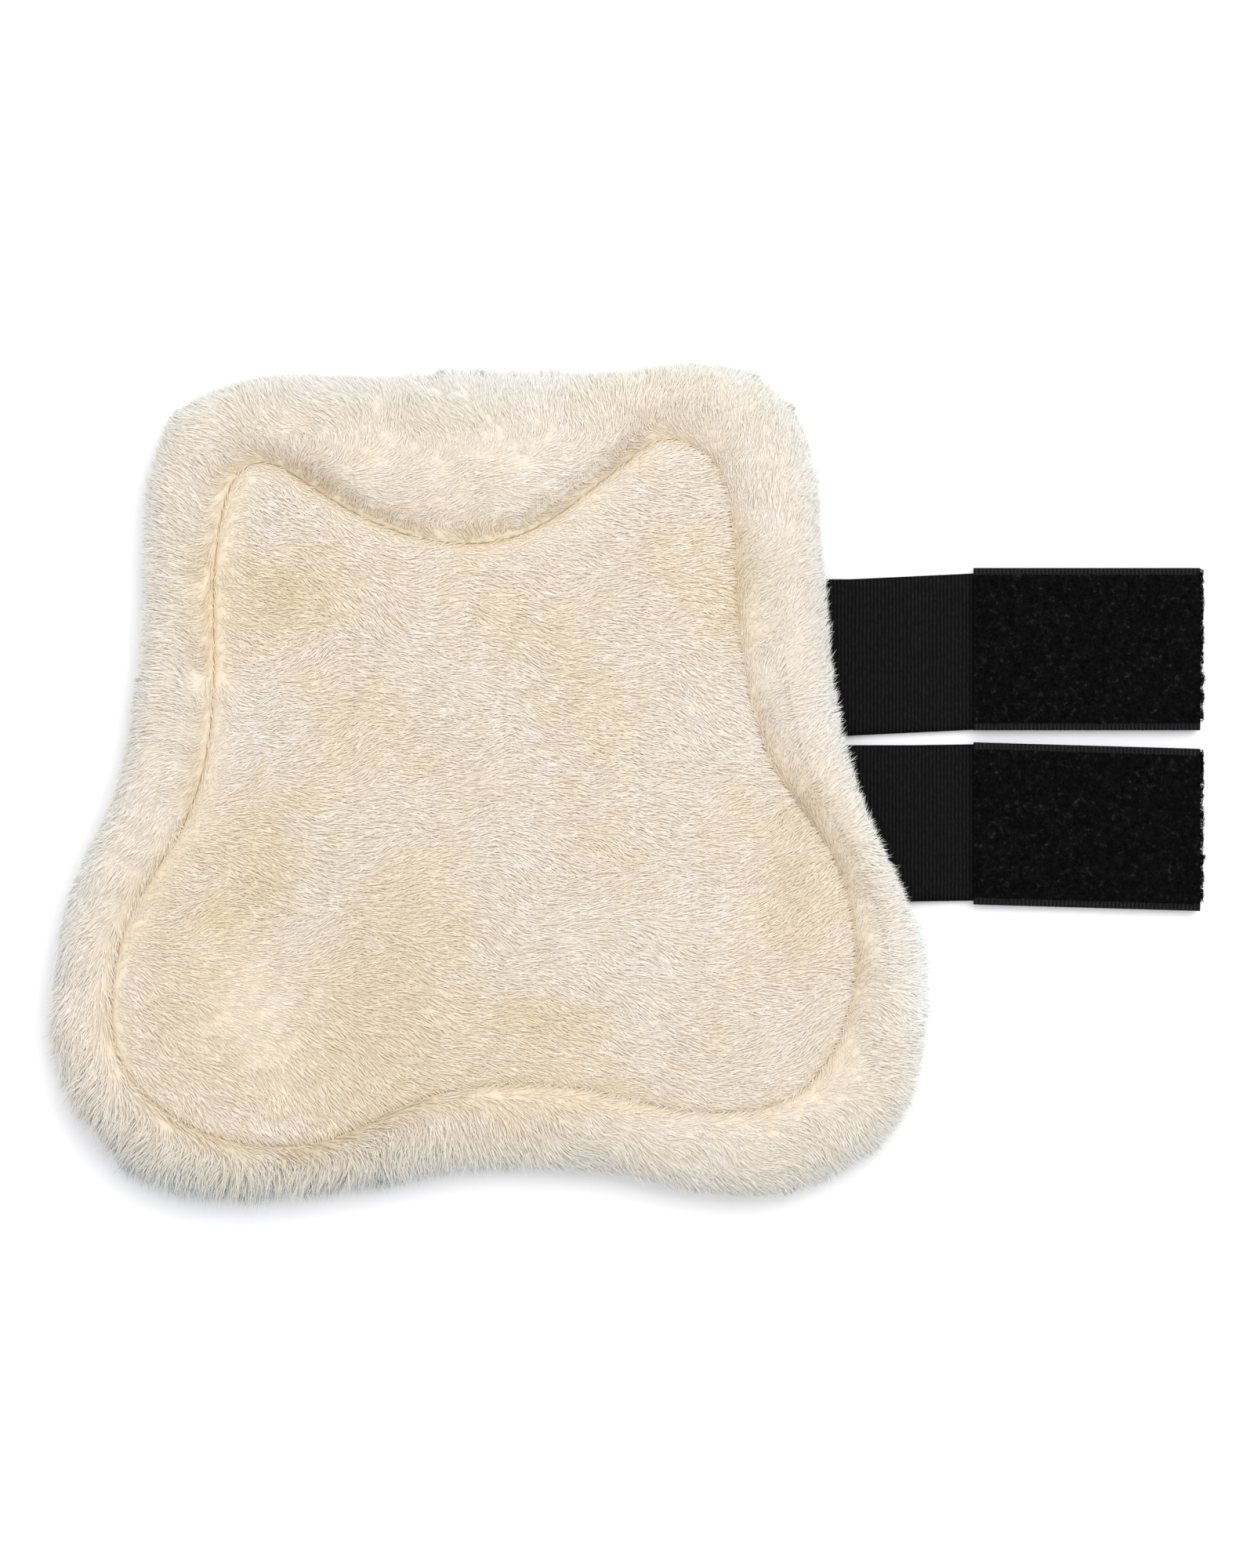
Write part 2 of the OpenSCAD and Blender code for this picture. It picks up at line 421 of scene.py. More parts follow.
# ---- closed meshes
def loft(rings, ends=None):
    """Closed mesh from rings of points. With no ends the last ring joins the first. "fan" closes
    both ends from a middle point, "ladder" from each point to the one across a flat section."""
    count = len(rings)
    n = len(rings[0])
    bm = bmesh.new()
    grid = [[bm.verts.new(p) for p in ring] for ring in rings]
    for k in range(count - 1 if ends else count):
        a, b = grid[k], grid[(k + 1) % count]
        for i in range(n):
            j = (i + 1) % n
            bm.faces.new((a[i], a[j], b[j], b[i]))
    for ring in (grid[0], grid[-1]):
        if ends == "fan":
            middle = bm.verts.new(sum((v.co for v in ring), Vector()) / n)
            for i in range(n):
                bm.faces.new((ring[i], ring[(i + 1) % n], middle))
        elif ends == "ladder":
            for i in range(n // 2 - 1):
                bm.faces.new((ring[i], ring[i + 1], ring[n - 2 - i], ring[n - 1 - i]))
    bmesh.ops.recalc_face_normals(bm, faces=bm.faces[:])
    return bm


def layer(outline, z0, z1, edge, rings):
    """A flat layer with rounded edges."""
    inside = moved_in(outline, edge)
    shares = np.linspace(0.06, 0.96, rings)
    levels = [flat3(inside * share, z0) for share in shares]
    for angle in np.linspace(0, math.pi, 6):
        inset = edge * (1 - math.sin(angle))
        z = (z0 + z1) / 2 - (z1 - z0) / 2 * math.cos(angle)
        levels.append(flat3(moved_in(outline, inset), z))
    levels += [flat3(inside * share, z1) for share in shares[::-1]]
    return loft(levels, ends="fan")


# ---- pile
GROOVE_Z = 11.5 * MM         # bottom of the sewn groove between panel and rolled edge
CREASE = 0.4 * MM            # how far the pile's ground rises at once beside the stitches
PANEL_TOP = 13.0 * MM
ROLL_TOP = 13.9 * MM
CREAM = srgb(227, 219, 208)
WARM = srgb(224, 209, 182)
YELLOWED = srgb(221, 205, 172)
# Warm root colour, kept bright as painted light that lifts the shade deep between the fibres
ROOT_WITH_PAINTED_GLOW = srgb(233, 219, 193)
SEAM = srgb(213, 190, 149)
RIM = srgb(228, 221, 210)
RIM_TIP = srgb(227, 228, 224)
PANEL_DENSITY = 2.6e6        # fibres to the square metre
ROLL_DENSITY = 2.8e6
FUR_STANDOFF = 1.2 * MM      # how far the padded body stays inside the pile's outer line
# Where the pile stands out further: angle from the middle, extra reach (mm), spread (all degrees).
FULLER = [(57, 2.4, 15), (88, 1.0, 14), (118, 2.1, 10), (-165, 2.6, 9), (-23, 2.0, 7), (-42, 0.8, 8)]


def grid_points(xs, ys):
    return np.stack(np.meshgrid(xs, ys, indexing="ij"), -1).reshape(-1, 2)


class Field:
    """Distances to an outline on a grid, read back between its points."""

    def __init__(self, outline, spacing=1.0 * MM):
        low, high = edge_line.min(0) - 12 * MM, edge_line.max(0) + 12 * MM
        self.low, self.spacing = low, spacing
        xs = np.arange(low[0], high[0], spacing)
        ys = np.arange(low[1], high[1], spacing)
        grid = grid_points(xs, ys)
        thin = outline[::2]
        near = np.concatenate([np.sqrt(((part[:, None] - thin[None]) ** 2).sum(-1)).min(1)
                               for part in np.array_split(grid, 40)])
        inside = np.linalg.norm(grid, axis=1) < radius_at(
            outline, np.arctan2(grid[:, 1], grid[:, 0]))
        self.grid = np.where(inside, near, -near).reshape(len(xs), len(ys))

    def __call__(self, xy):
        place = (np.asarray(xy)[:, :2] - self.low) / self.spacing
        limit = np.array(self.grid.shape) - 2
        cell = np.clip(np.floor(place).astype(int), 0, limit)
        (i, j), (fx, fy) = cell.T, np.clip(place - cell, 0, 1).T
        g = self.grid
        near = g[i, j] * (1 - fx) + g[i + 1, j] * fx
        far = g[i, j + 1] * (1 - fx) + g[i + 1, j + 1] * fx
        return near * (1 - fy) + far * fy


seam_gap = Field(seam_line)      # above 0 inside the lining panel
edge_gap = Field(edge_line)      # above 0 inside the whole boot


def smoothstep(low, high, x):
    t = np.clip((x - low) / (high - low), 0, 1)
    return t * t * (3 - 2 * t)


def turned(vectors, angles):
    c, s = np.cos(angles), np.sin(angles)
    return np.column_stack([vectors[:, 0] * c - vectors[:, 1] * s,
                            vectors[:, 0] * s + vectors[:, 1] * c])


def pressed_flat(vectors, normals):
    """The vectors without their part along the normals."""
    return vectors - (vectors * normals).sum(1)[:, None] * normals


def slope(field, xy, step=1.0 * MM):
    """Flat direction in which the field grows fastest."""
    found = np.column_stack([field(xy + np.array(d) * step) - field(xy - np.array(d) * step)
                             for d in ((1, 0), (0, 1))])
    return unit(found)


def patch(xy, x, y, wide, tall, lean=0.0):
    """1 in the middle of an oval patch (mm), 0 away from it."""
    away = turned(xy[:, :2] - np.array([x, y]) * MM, -lean) / (np.array([wide, tall]) * MM)
    return np.exp(-(away ** 2).sum(1))


def pressed(xy):
    """The smooth patch where the lining's pile has been pressed flat."""
    return patch(xy, -57, -55, 11, 19, 0.45)


def yellowed(xy):
    """Where the lining's pile is parted or rubbed, and its yellower roots show."""
    spots = [(-28, -52, 19, 22), (-56, -20, 9, 13), (-48, 46, 14, 9), (10, -56, 13, 6), (-66, -33, 6, 5)]
    return np.clip(sum(patch(xy, *spot) for spot in spots), 0, 1)


def panel_comb(points):
    """Which way the lining's pile lies: across the panel, dipping towards the lower lobes."""
    xy = points[:, :2]
    down_left = smoothstep(-45 * MM, -80 * MM, xy[:, 1]) * smoothstep(0, -50 * MM, xy[:, 0])
    up_right = smoothstep(30 * MM, 80 * MM, xy[:, 0]) * smoothstep(10 * MM, -50 * MM, xy[:, 1])
    swirl = 0.7 * wrinkle(points, 24 * MM, 3) + 0.6 * wrinkle(points, 9 * MM, 8)
    angle = -0.08 - 1.1 * down_left + 0.6 * up_right + 0.35 * wrinkle(points, 3.2 * MM, 4)
    angle += swirl * (1 - 0.7 * pressed(xy))
    comb = np.column_stack([np.cos(angle), np.sin(angle)])
    # Close to the seam the pile lies along it or over it, so that the seam is half hidden.
    inward = slope(seam_gap, xy)
    near = np.exp(-(seam_gap(xy) / (2.0 * MM)) ** 2)[:, None]
    away = np.clip((comb * inward).sum(1), 0, None)[:, None]
    return unit(comb + near * (0.6 * turned(inward, np.full(len(xy), 1.57)) - 1.2 * away * inward))


def panel_height(xy):
    """Top of the padded panel: down into the groove at the seam, crowned elsewhere."""
    deep = np.clip(seam_gap(xy), 0, None)
    rise = PANEL_TOP - GROOVE_Z - CREASE
    crown = GROOVE_Z + CREASE * (1 - np.exp(-deep / MM)) + rise * (1 - np.exp(-deep / (6 * MM)))
    points = flat3(xy[:, :2])
    lumps = 0.5 * wrinkle(points, 17 * MM, 1) + 0.3 * wrinkle(points, 6 * MM, 5)
    lumps += 0.12 * wrinkle(points, 3 * MM, 6) - 0.8 * pressed(xy) - 1.8 * patch(xy, 63, -28, 10, 19)
    return crown + lumps * MM * smoothstep(0, 6 * MM, deep)


def roll_profile(width):
    """The rolled edge's section, from the seam over the crown to the outer edge and underneath."""
    inner, outer = min(0.5 * width, 14 * MM), min(0.5 * width, 11 * MM)
    rise = ROLL_TOP - GROOVE_Z - CREASE
    rows = []
    for s in (0, 0.07, 0.16, 0.3, 0.5, 0.75, 1):
        step = CREASE * (1 - math.exp(-inner * s / MM))
        rows.append((inner * s, GROOVE_Z + step + rise * math.sin(s * math.pi / 2)))
    span = width - inner - outer
    for share in (0.33, 0.67):
        sag = 0.7 * MM * math.sin(math.pi * share) * smoothstep(6 * MM, 24 * MM, span)
        rows.append((inner + span * share, ROLL_TOP - sag))
    low = 7.4 * MM
    for turn in np.radians((0, 20, 38, 54, 70, 90)):
        rows.append((width - outer + outer * math.sin(turn), low + (ROLL_TOP - low) * math.cos(turn)))
    rows += [(width - 0.5 * MM, 5.5 * MM), (width - 2 * MM, 3.8 * MM), (width - 4.6 * MM, 2.7 * MM)]
    rows += [(5.0 * MM, 2.5 * MM), (4.9 * MM, SHELL_Z[1] + 0.2 * MM), (0.4 * MM, SHELL_Z[1] + 0.3 * MM)]
    return rows


OUTER_ROWS = (10, 15)         # rows of the section on the outer side
UNDER_ROW = 17                # the flat underside, the last row that carries pile
way_round = np.degrees(np.arctan2(edge_line[:, 1], edge_line[:, 0]))
fuller = sum(mm * MM * np.exp(-(((way_round - at + 180) % 360 - 180) / spread) ** 2)
             for at, mm, spread in FULLER)
body_line = moved_in(edge_line, (FUR_STANDOFF - fuller)[:, None])
roll_width = np.linalg.norm(body_line - seam_of_edge, axis=1)


def roll_grid():
    """The rolled edge's surface as a grid of points: rows of the section by places round it."""
    profiles = np.array([roll_profile(w) for w in roll_width])
    way = (body_line - seam_of_edge) / roll_width[:, None]
    grid = np.array([flat3(seam_of_edge + way * out[:, None], z)
                     for out, z in profiles.transpose(1, 2, 0)])
    for k in range(1, OUTER_ROWS[1] + 2):
        lumps = 0.9 * wrinkle(grid[k], 13 * MM, 2) + 0.4 * wrinkle(grid[k], 5 * MM, 4)
        share = min(k / 4, (OUTER_ROWS[1] + 2 - k) / 3, 1)
        middle = flat3(seam_of_edge + way * (roll_width / 2)[:, None], 9 * MM)
        grid[k] += unit(grid[k] - middle) * (lumps * share * 0.75 * MM)[:, None]
    return grid


def seam_tint(points, close, wide):
    """How far the tan backing shows close to the stitches, and a faint painted shade in the same tan for
    some way round them.
    """
    gap = seam_gap(points)
    return (close * np.exp(-(gap / (0.9 * MM)) ** 2) + wide * np.exp(-(gap / (3.2 * MM)) ** 2))[:, None]


def mixed(a, b, share):
    return a * (1 - share) + b * share


def pile_colours(points, rim, tone):
    """Linear colour for each fibre: cream on the panel, whiter on the rolled edge, tan at the seam, with
    painted shade round the seam and at the lower left of the rolled edge, and a painted highlight at its
    lower right.
    """
    flat = flat3(points[:, :2])
    patchy = 0.45 + 0.8 * wrinkle(flat, 30 * MM, 6) + 0.35 * wrinkle(flat, 7 * MM, 9)
    tufts = wrinkle(flat, 2.4 * MM, 12)
    warm = np.clip((patchy - 0.25 * tufts - 0.08 * tone) * (1 - 0.6 * rim), 0, 1)
    warm = np.clip(warm * 0.8 + 0.3 * pressed(flat), 0, 1)[:, None]
    yellow = (0.82 * yellowed(points) * (1 - smoothstep(0, 0.1, rim)))[:, None]
    rim = rim[:, None]
    tip_white = smoothstep(0.6, 1.0, rim)
    light = mixed(CREAM, mixed(RIM, RIM_TIP, tip_white), smoothstep(0, 0.5, rim))
    colour = mixed(light, light * (WARM / CREAM), warm)
    colour = mixed(colour, YELLOWED, yellow)
    colour = mixed(colour, SEAM, seam_tint(points, 0.4, 0.16))
    # Painted shade: the rolled edge darker and greener towards the lower left, the side away from the light
    low = smoothstep(-55 * MM, -98 * MM, points[:, 1])
    low *= 0.35 + 0.65 * smoothstep(30 * MM, -70 * MM, points[:, 0])
    shade = low * (1 + 0.5 * smoothstep(10 * MM, -50 * MM, points[:, 0]))
    colour *= 1 - shade[:, None] * rim * np.array([0.25, 0.18, 0.11])
    # Painted shade: the pile a little darker for a few millimetres round the seam's groove
    colour *= 1 - 0.04 * np.exp(-(seam_gap(points) / (3 * MM)) ** 2)[:, None]
    # Painted highlight: the rolled edge lighter and bluer towards the lower right, where the light falls on
    # it
    painted_highlight = smoothstep(45 * MM, 95 * MM, points[:, 0]) * smoothstep(-88 * MM, -50 * MM, points[:, 1])
    painted_highlight *= smoothstep(40 * MM, -10 * MM, points[:, 1])
    colour *= 1 + painted_highlight[:, None] * rim * np.array([0.07, 0.11, 0.16])
    return colour * (1 + 0.02 * tone[:, None] + 0.03 * tufts[:, None])


def root_colours(points, rim):
    """Colour deep in the pile: warm, with painted light that lifts the shade between the fibres; tan at the
    seam.
    """
    deep = mixed(ROOT_WITH_PAINTED_GLOW, RIM, 0.7 * rim[:, None])
    return mixed(deep, SEAM, seam_tint(points, 0.5, 0.16))


def body_colours(points, rim):
    """Ground between the fibres, darker so that it matches the shaded pile where it shows."""
    pile = pile_colours(points, rim, np.full(len(points), -1.2))
    return 0.93 * mixed(pile, root_colours(points, rim), 0.6)


def tube_faces(rings):
    """Triangles round a three-sided tube, its first end closed."""
    faces = [(2, 1, 0)]
    for k in range(rings - 1):
        for i in range(3):
            a, b = 3 * k + i, 3 * k + (i + 1) % 3
            faces += [(a, b, b + 3), (a, b + 3, a + 3)]
    return faces


FIBRE_FACES = np.array(tube_faces(2) + [(3, 4, 6), (4, 5, 6), (5, 3, 6)])
FIBRE_POINTS = 7


def repeated(faces, count, stride):
    """The same faces for count shapes of stride points each."""
    return (np.arange(count)[:, None, None] * stride + faces).reshape(-1, 3)


# A fibre starts below the ground, bends at its knee and ends in a point.
ROOT_DEPTH = 0.8 * MM
KNEE_ALONG, KNEE_UP, KNEE_WIDTH = 0.42, 0.62, 0.85


def fibres(roots, normals, comb, length, width, lift, tone, rim, clump=0.3, floor=None, size=2.6 * MM,
           spread=0.10, thick=0.4):
    """Tapered closed spikes: each stands up from its root, then lies over along comb.
    Returns points, triangles, colours and cell coordinates."""
    n = len(roots)
    side = unit(np.cross(comb, normals))
    cell = np.floor((roots + 0.8 * MM * rng.standard_normal((n, 3))) / size)
    pull = pressed_flat((cell + 0.5) * size - roots, normals)
    base = roots - ROOT_DEPTH * normals
    knee = roots + comb * (KNEE_ALONG * length)[:, None] + normals * (KNEE_UP * lift)[:, None]
    tip = (roots + comb * length[:, None] + normals * lift[:, None]
           + side * (spread * length * rng.standard_normal(n))[:, None] + pull * clump)
    rings = []
    for place, wide in ((base, 1.0), (knee, KNEE_WIDTH)):
        for across, up in ((-0.5, 0), (0.5, 0), (0, thick)):
            rings.append(place + wide * width[:, None] * (across * side + up * normals))
    points = np.stack([*rings, tip], 1)
    if floor is not None:
        points[..., 2] = np.maximum(points[..., 2], floor[:, None])
    faces = repeated(FIBRE_FACES, n, FIBRE_POINTS)
    main = pile_colours(roots, rim, tone)
    root_tint = root_colours(roots, rim)
    shades = [mixed(main, root_tint, 0.65)] * 3 + [mixed(main, root_tint, 0.1)] * 3 + [main * 1.02]
    cells = np.array([(0.1, 0.1), (0.5, 0.1), (0.9, 0.1), (0.1, 0.6), (0.5, 0.6), (0.9, 0.6),
                      (0.5, 0.95)])
    return points, faces, np.stack(shades, 1), np.tile(cells, (n, 1, 1))


def whole_numbers(items, key):
    found = np.zeros(len(items), int)
    items.foreach_get(key, found)
    return found


def with_fibres(mesh, body_colour, fibre_set):
    """One mesh of the padded body and its fibres, with pile_colour and the baking layout."""
    count = len(mesh.vertices)
    co = np.zeros(count * 3)
    mesh.vertices.foreach_get("co", co)
    co = co.reshape(-1, 3)
    starts = whole_numbers(mesh.polygons, "loop_start")
    totals = whole_numbers(mesh.polygons, "loop_total")
    corners = whole_numbers(mesh.loops, "vertex_index")
    points, faces, shades, cells = fibre_set
    n = len(points)
    new = bpy.data.meshes.new(mesh.name + "_pile")
    new.vertices.add(count + FIBRE_POINTS * n)
    new.vertices.foreach_set("co", np.vstack([co, points.reshape(-1, 3)]).ravel())
    all_corners = np.concatenate([corners, faces.ravel() + count])
    new.loops.add(len(all_corners))
    new.loops.foreach_set("vertex_index", all_corners)
    all_starts = np.concatenate([starts, len(corners) + 3 * np.arange(len(faces))])
    new.polygons.add(len(all_starts))
    new.polygons.foreach_set("loop_start", all_starts)
    new.polygons.foreach_set("loop_total", np.concatenate([totals, np.full(len(faces), 3)]))
    new.update(calc_edges=True)
    new.polygons.foreach_set("use_smooth", np.arange(len(all_starts)) < len(starts))
    colour = np.vstack([body_colour(co), shades.reshape(-1, 3)])
    layer_ = new.attributes.new("pile_colour", "FLOAT_COLOR", "POINT")
    layer_.data.foreach_set("color", np.column_stack([colour, np.ones(len(colour))]).ravel())
    # Baking layout: the body lies flat in the lower half, each fibre has its own cell above it.
    low, high = co[:, :2].min(0), co[:, :2].max(0)
    body_uv = (co[:, :2] - low) / (high - low) * np.array([0.98, 0.46]) + 0.01
    columns = max(1, math.ceil(math.sqrt(2 * n)))
    rows = max(1, math.ceil(n / columns))
    index = np.arange(n)
    corner = np.column_stack([index % columns / columns, 0.5 + 0.5 * (index // columns) / rows])
    fibre_uv = corner[:, None] + cells * np.array([1 / columns, 0.5 / rows])
    uv = np.vstack([body_uv, fibre_uv.reshape(-1, 2)])[all_corners]
    new.uv_layers.new(name="OFBake").data.foreach_set("uv", uv.ravel())
    bpy.data.meshes.remove(mesh)
    return new


def scatter(density, low_xy, high_xy):
    """Jittered points over a rectangle, density points to the square metre."""
    step = 1 / math.sqrt(density)
    xs = np.arange(low_xy[0], high_xy[0], step)
    ys = np.arange(low_xy[1], high_xy[1], step)
    grid = grid_points(xs, ys)
    return grid + step * rng.uniform(-0.6, 0.6, grid.shape)


def panel_fibres():
    xy = scatter(PANEL_DENSITY, edge_line.min(0), edge_line.max(0))
    xy = xy[seam_gap(xy) > 0.1 * MM]
    roots = flat3(xy, panel_height(xy))
    comb2 = panel_comb(roots)
    ahead = xy + 1 * MM * comb2
    comb = unit(flat3(ahead, panel_height(ahead)) - roots)
    n = len(xy)
    normals = np.tile([0.0, 0.0, 1.0], (n, 1))
    near = smoothstep(0, 7 * MM, seam_gap(xy))
    flat = 1 - 0.7 * pressed(xy)
    length = (3.4 + 1.6 * near) * rng.uniform(0.7, 1.3, n) * MM
    lift = (0.4 + 0.45 * near * rng.uniform(0.1, 1.2, n)) * flat * MM
    width = rng.uniform(0.25, 0.44, n) * MM
    tone = rng.standard_normal(n)
    return fibres(roots, normals, comb, length, width, lift, tone, np.zeros(n), clump=0.42, size=3.2 * MM,
                  spread=0.06, thick=0.22)


def roll_fibres(grid):
    """Pile of the rolled edge, rooted on its top, outer side and underside."""
    across = np.linalg.norm(np.diff(grid, axis=0), axis=2)
    along = np.linalg.norm(np.roll(grid, -1, 1) - grid, axis=2)[:-1]
    density = np.full(len(grid) - 1, ROLL_DENSITY)
    density[slice(*OUTER_ROWS)] *= 1.3
    density[UNDER_ROW] *= 0.6
    density[UNDER_ROW + 1:] = 0
    counts = rng.poisson(across * along * density[:, None])
    r_index, s_index = np.nonzero(counts)
    repeat = counts[r_index, s_index]
    r_index, s_index = np.repeat(r_index, repeat), np.repeat(s_index, repeat)
    n = len(r_index)
    u, v = rng.random(n)[:, None], rng.random(n)[:, None]
    nxt = (s_index + 1) % STEPS
    a, b = grid[r_index, s_index], grid[r_index, nxt]
    c, d = grid[r_index + 1, s_index], grid[r_index + 1, nxt]
    roots = (a * (1 - u) + b * u) * (1 - v) + (c * (1 - u) + d * u) * v
    normals = unit(np.cross(unit(c - a), unit(b - a)))
    out2 = unit(body_line[s_index] - seam_of_edge[s_index])
    gap_edge = np.clip(edge_gap(roots), 0, None)
    gap_seam = np.clip(-seam_gap(roots), 0, None)
    rim = gap_seam / (gap_seam + gap_edge + 1e-9)
    # The pile lies outwards near the edge and joins the panel's flow away from it.
    panel = panel_comb(roots)
    swing = np.arctan2(out2[:, 0] * panel[:, 1] - out2[:, 1] * panel[:, 0], (out2 * panel).sum(1))
    flow = turned(out2, swing * smoothstep(13 * MM, 24 * MM, gap_edge))
    swirl = 0.9 * wrinkle(roots, 15 * MM, 7) + 0.5 * wrinkle(roots, 6 * MM, 2)
    across_seam = 1.5 * np.exp(-(gap_seam / (2.2 * MM)) ** 2)
    comb = flat3(turned(flow, 0.35 + swirl + across_seam))
    comb[:, 2] = -0.25 * smoothstep(0.55, 0.9, rim)
    comb = unit(pressed_flat(comb, normals))
    shaggy = smoothstep(-20 * MM, -75 * MM, roots[:, 1]) * smoothstep(60 * MM, -60 * MM, roots[:, 0])
    side = smoothstep(0.55, 0.95, rim)
    stray = np.where(rng.random(n) < 0.04, 1.7, 1.0)
    length = (4.6 - 1.2 * side + 2.2 * shaggy) * rng.uniform(0.65, 1.3, n) * MM
    lift = (0.5 + 0.5 * side + 0.35 * shaggy) * rng.uniform(0.3, 1.4, n) * stray * MM
    width = rng.uniform(0.22, 0.42, n) * (1 - 0.4 * side) * MM
    tone = rng.standard_normal(n)
    over_strap = (roots[:, 0] > 50 * MM) & (roots[:, 1] > -32 * MM) & (roots[:, 1] < 54 * MM)
    floor = np.where(over_strap, 1.9 * MM, 0.3 * MM)
    return fibres(roots, normals, comb, length, width, lift, tone, rim,
                  clump=(0.35 + 0.2 * shaggy)[:, None], floor=floor, size=3.6 * MM, spread=0.07, thick=0.25)


def part_of(fibre_set, low, high):
    points, _, shades, cells = fibre_set
    root_x = points[:, 0:3, 0].mean(1)
    kept = np.nonzero((root_x >= low) & (root_x < high))[0]
    faces = repeated(FIBRE_FACES, len(kept), FIBRE_POINTS)
    return points[kept], faces, shades[kept], cells[kept]


def make_lining(material):
    """The padded fleece panel: crowned top with its pile, flat backing."""
    shares = np.concatenate([np.linspace(0.04, 0.9, 34), np.linspace(0.92, 0.995, 9)])
    levels = [flat3(seam_line * share, panel_height(seam_line * share)) for share in shares]
    levels.append(flat3(seam_line, GROOVE_Z - 0.2 * MM))
    for share in (1.0, 0.9, 0.7, 0.4, 0.1):
        levels.append(flat3(seam_line * share, LINING_Z[0] + 0.05 * MM))
    bm = loft(levels, ends="fan")
    pile = panel_fibres()

    def colour(co):
        return body_colours(co, np.zeros(len(co)))

    def finish(mesh, low, high):
        return with_fibres(mesh, colour, part_of(pile, low, high))

    for piece in strip_pieces(bm, "fleece_lining", "fleece", material, "lining", finish):
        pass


def make_rolled_edge(material):
    grid = roll_grid()
    bm = loft([grid[k] for k in range(len(grid))])
    pile = roll_fibres(grid)

    def colour(co):
        gap = np.clip(-seam_gap(co), 0, None)
        return body_colours(co, gap / (gap + np.clip(edge_gap(co), 0, None) + 1e-9))

    def finish(mesh, low, high):
        return with_fibres(mesh, colour, part_of(pile, low, high))

    for piece in strip_pieces(bm, "rolled_edge", "fleece_edge", material, "edge_roll", finish):
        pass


# ---- shell and foam
def make_shell(material):
    bm = layer(shell_line, *SHELL_Z, 0.9 * MM, rings=24)
    for piece in strip_pieces(bm, "outer_shell", "shell", material, "shell"):
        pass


def make_foam(material):
    bm = layer(foam_line, *FOAM_Z, 0.8 * MM, rings=10)
    for piece in strip_pieces(bm, "foam_core", "foam", material, "foam"):
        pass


def rounded_box(low, high, radius, inset=0.0, corner=14):
    """Anticlockwise rectangle with round corners, its sides moved in by inset."""
    x0, x1, y0, y1 = low[0] + inset, high[0] - inset, low[1] + inset, high[1] - inset
    radius = max(radius - inset, 0.2 * MM)
    corners = [(x1 - radius, y1 - radius, 0), (x0 + radius, y1 - radius, 1),
               (x0 + radius, y0 + radius, 2), (x1 - radius, y0 + radius, 3)]
    turns = [(quarter + np.linspace(0, 1, corner)) * math.pi / 2 for _, _, quarter in corners]
    arcs = [np.stack([x + radius * np.cos(t), y + radius * np.sin(t)], 1)
            for (x, y, _), t in zip(corners, turns)]
    sides = [np.linspace(arc[-1], arcs[(k + 1) % 4][0], 14)[1:-1] for k, arc in enumerate(arcs)]
    return np.vstack([np.vstack(pair) for pair in zip(arcs, sides)])


def plate(low, high, radius, rows, z1):
    """Closed plate: its lower face is given as rows of (how far in, height), from its rim inwards."""
    rings = [flat3(rounded_box(low, high, radius, inset), z) for inset, z in rows[::-1]]
    middle = rings[0].mean(0)
    inner = [middle + (rings[0] - middle) * share for share in (0.15, 0.5, 0.8)]
    top = flat3(rounded_box(low, high, radius), z1)
    middle = top.mean(0)
    outer = [middle + (top - middle) * share for share in (1, 0.97, 0.6, 0.2)]
    return loft(inner + rings + outer, ends="fan")


def make_strike_pad(material):
    """Moulded pad: a rounded border, a sunken band and a raised middle."""
    low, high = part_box("strike_pad")
    rows = [(0, 0.9), (0.25, 0.4), (0.8, 0.1), (1.6, 0.0), (3.2, 0.0), (3.8, 0.25), (4.1, 0.75),
            (5.2, 0.85), (5.6, 0.5), (6.0, 0.1), (6.8, 0.0), (9.5, 0.0)]
    bm = plate(low, high, 0.46 * (high.x - low.x), [(d * MM, z * MM) for d, z in rows], high.z)
    pieces = strip_pieces(bm, "moulded_pad", "strike_pad", material)
    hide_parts("strike_pad")


def closed_mesh(points, faces, name):
    mesh = bpy.data.meshes.new(name)
    mesh.from_pydata(points.reshape(-1, 3).tolist(), [], faces.tolist())
    mesh.update()
    return mesh


def hooks(x0, x1, y0, y1, z_root, z_tip):
    """Rows of small hooks that stand down from the patch's outer face."""
    pitch = 1.5 * MM
    xs = np.arange(x0 + pitch, x1 - pitch / 2, pitch)
    ys = np.arange(y0 + pitch, y1 - pitch / 2, pitch * 0.8)
    grid = grid_points(xs, ys)
    n = len(grid)
    roots = flat3(grid + rng.uniform(-0.12, 0.12, grid.shape) * MM, z_root)
    down = np.tile([0.0, 0.0, -1.0], (n, 1))
    comb = flat3(np.column_stack([np.where(rng.random(n) < 0.5, 1.0, -1.0), np.zeros(n)]))
    tall = z_root - z_tip
    return fibres(roots, down, comb, np.full(n, 0.5 * MM), np.full(n, 0.36 * MM),
                  np.full(n, tall), np.zeros(n), np.zeros(n), clump=0.0)


